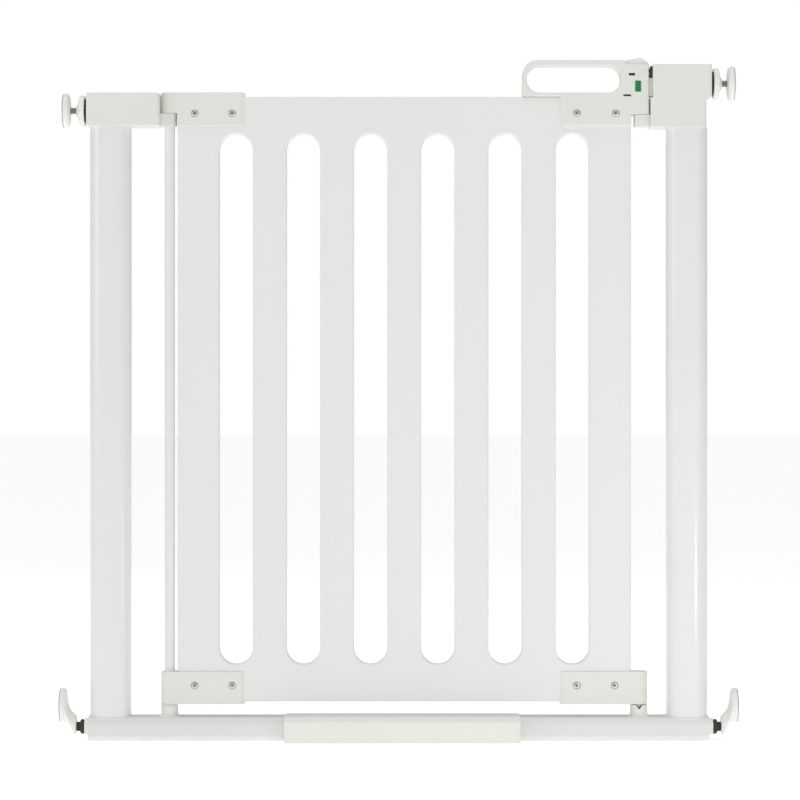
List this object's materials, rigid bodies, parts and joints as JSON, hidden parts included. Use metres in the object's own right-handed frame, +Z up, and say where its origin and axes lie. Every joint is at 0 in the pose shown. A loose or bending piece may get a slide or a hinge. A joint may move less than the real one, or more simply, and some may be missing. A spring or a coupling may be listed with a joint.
{
  "type": "pressure-fit safety gate",
  "caption": "White pressure-fit doorway safety gate: slotted leaf that lifts and swings in a U-shaped frame, thumb latch with carry handle, and screw-out wall pads.",
  "frame": {"origin": "on the floor below the middle of the base tube", "axes": "+X across the doorway towards the latch, +Y through the doorway away from the side with the screw heads, +Z up"},
  "size_m": [0.7986, 0.088, 0.803],
  "materials": {
    "black_plastic": "black moulded plastic",
    "black_steel": "black oxide",
    "clear_window": "clear tinted plastic",
    "green_plastic": "green moulded plastic",
    "grey_white_plastic": "fine textured moulded plastic",
    "panel_lacquer": "satin white lacquer on board",
    "powder_coat": "satin white powder coat",
    "rubber": "soft moulded rubber",
    "white_plastic": "fine textured off-white moulded plastic",
    "zinc_steel": "bright zinc plate"
  },
  "bodies": {
    "frame": {"base_bar": "powder_coat", "base_collar_left": "white_plastic", "base_collar_right": "white_plastic", "left_post": "powder_coat", "right_post": "powder_coat", "threshold_ramp": "white_plastic", "hinge_housing": "grey_white_plastic", "latch_housing": "grey_white_plastic", "strike_liner": "black_plastic", "hinge_rod": "powder_coat", "hinge_foot": "white_plastic", "catch_cup": "white_plastic"},
    "hinge_sleeve": {"lower_hinge_bush": "white_plastic"},
    "leaf": {"leaf_panel": "panel_lacquer", "lower_hinge_bracket": "grey_white_plastic", "upper_hinge_bracket": "grey_white_plastic", "lower_catch_bracket": "grey_white_plastic", "catch_tooth": "white_plastic", "upper_hinge_bush": "white_plastic", "bracket_screw_1": "zinc_steel", "bracket_screw_2": "zinc_steel", "bracket_screw_3": "zinc_steel", "bracket_screw_4": "zinc_steel", "bracket_screw_5": "zinc_steel", "bracket_screw_6": "zinc_steel", "bracket_screw_7": "zinc_steel", "bracket_screw_8": "zinc_steel", "sleeve_nut_1": "zinc_steel", "sleeve_nut_2": "zinc_steel", "sleeve_nut_3": "zinc_steel", "sleeve_nut_4": "zinc_steel", "sleeve_nut_5": "zinc_steel", "sleeve_nut_6": "zinc_steel", "sleeve_nut_7": "zinc_steel", "sleeve_nut_8": "zinc_steel", "latch_case_front": "grey_white_plastic", "latch_case_back": "grey_white_plastic", "window_front": "clear_window", "window_back": "clear_window", "latch_spring": "zinc_steel"},
    "latch_slide": {"latch_bolt": "white_plastic", "thumb_button": "white_plastic", "indicator_front": "green_plastic", "indicator_back": "green_plastic"},
    "top_left_wheel": {"top_left_wheel": "white_plastic"},
    "top_left_spindle": {"top_left_spindle": "black_steel", "top_left_pad": "white_plastic", "top_left_rubber": "rubber"},
    "top_right_wheel": {"top_right_wheel": "white_plastic"},
    "top_right_spindle": {"top_right_spindle": "black_steel", "top_right_pad": "white_plastic", "top_right_rubber": "rubber"},
    "bottom_left_nut": {"bottom_left_nut": "black_plastic"},
    "bottom_left_spindle": {"bottom_left_spindle": "black_steel", "bottom_left_foot": "white_plastic", "bottom_left_rubber": "rubber"},
    "bottom_right_nut": {"bottom_right_nut": "black_plastic"},
    "bottom_right_spindle": {"bottom_right_spindle": "black_steel", "bottom_right_foot": "white_plastic", "bottom_right_rubber": "rubber"}
  },
  "joints": [
    {"name": "leaf_swing", "type": "hinge", "parent": "frame", "child": "hinge_sleeve", "pos_m": [-0.27, 0, 0.0605], "axis": [0, 0, 1], "range_deg": [-90, 90]},
    {"name": "leaf_lift", "type": "slide", "parent": "hinge_sleeve", "child": "leaf", "axis": [0, 0, 1], "range_m": [0, 0.01]},
    {"name": "latch_draw", "type": "slide", "parent": "leaf", "child": "latch_slide", "axis": [-1, 0, 0], "range_m": [0, 0.008], "stiffness_N_per_m": 150, "springref_m": -0.004, "deforming": ["latch_spring"]},
    {"name": "top_left_spindle_travel", "type": "slide", "parent": "frame", "child": "top_left_spindle", "axis": [-1, 0, 0], "range_m": [-0.005, 0.02]},
    {"name": "top_left_wheel_turn", "type": "hinge", "parent": "frame", "child": "top_left_wheel", "pos_m": [-0.375, 0, 0.741], "axis": [-1, 0, 0], "range_deg": [-1445, 5765]},
    {"name": "top_right_spindle_travel", "type": "slide", "parent": "frame", "child": "top_right_spindle", "axis": [1, 0, 0], "range_m": [-0.005, 0.02]},
    {"name": "top_right_wheel_turn", "type": "hinge", "parent": "frame", "child": "top_right_wheel", "pos_m": [0.3745, 0, 0.773], "axis": [1, 0, 0], "range_deg": [-1445, 5765]},
    {"name": "bottom_left_spindle_travel", "type": "slide", "parent": "frame", "child": "bottom_left_spindle", "axis": [-1, 0, 0], "range_m": [0, 0.02]},
    {"name": "bottom_left_nut_turn", "type": "hinge", "parent": "frame", "child": "bottom_left_nut", "pos_m": [-0.375, 0, 0.015], "axis": [-1, 0, 0], "range_deg": [-5, 5765]},
    {"name": "bottom_right_spindle_travel", "type": "slide", "parent": "frame", "child": "bottom_right_spindle", "axis": [1, 0, 0], "range_m": [0, 0.02]},
    {"name": "bottom_right_nut_turn", "type": "hinge", "parent": "frame", "child": "bottom_right_nut", "pos_m": [0.375, 0, 0.015], "axis": [1, 0, 0], "range_deg": [-5, 5765]}
  ],
  "couplings": [
    {"joint": "top_left_wheel_turn", "follows": "top_left_spindle_travel", "rad_per_m": 5026.5},
    {"joint": "top_right_wheel_turn", "follows": "top_right_spindle_travel", "rad_per_m": 5026.5},
    {"joint": "bottom_left_nut_turn", "follows": "bottom_left_spindle_travel", "rad_per_m": 5026.5},
    {"joint": "bottom_right_nut_turn", "follows": "bottom_right_spindle_travel", "rad_per_m": 5026.5}
  ]
}
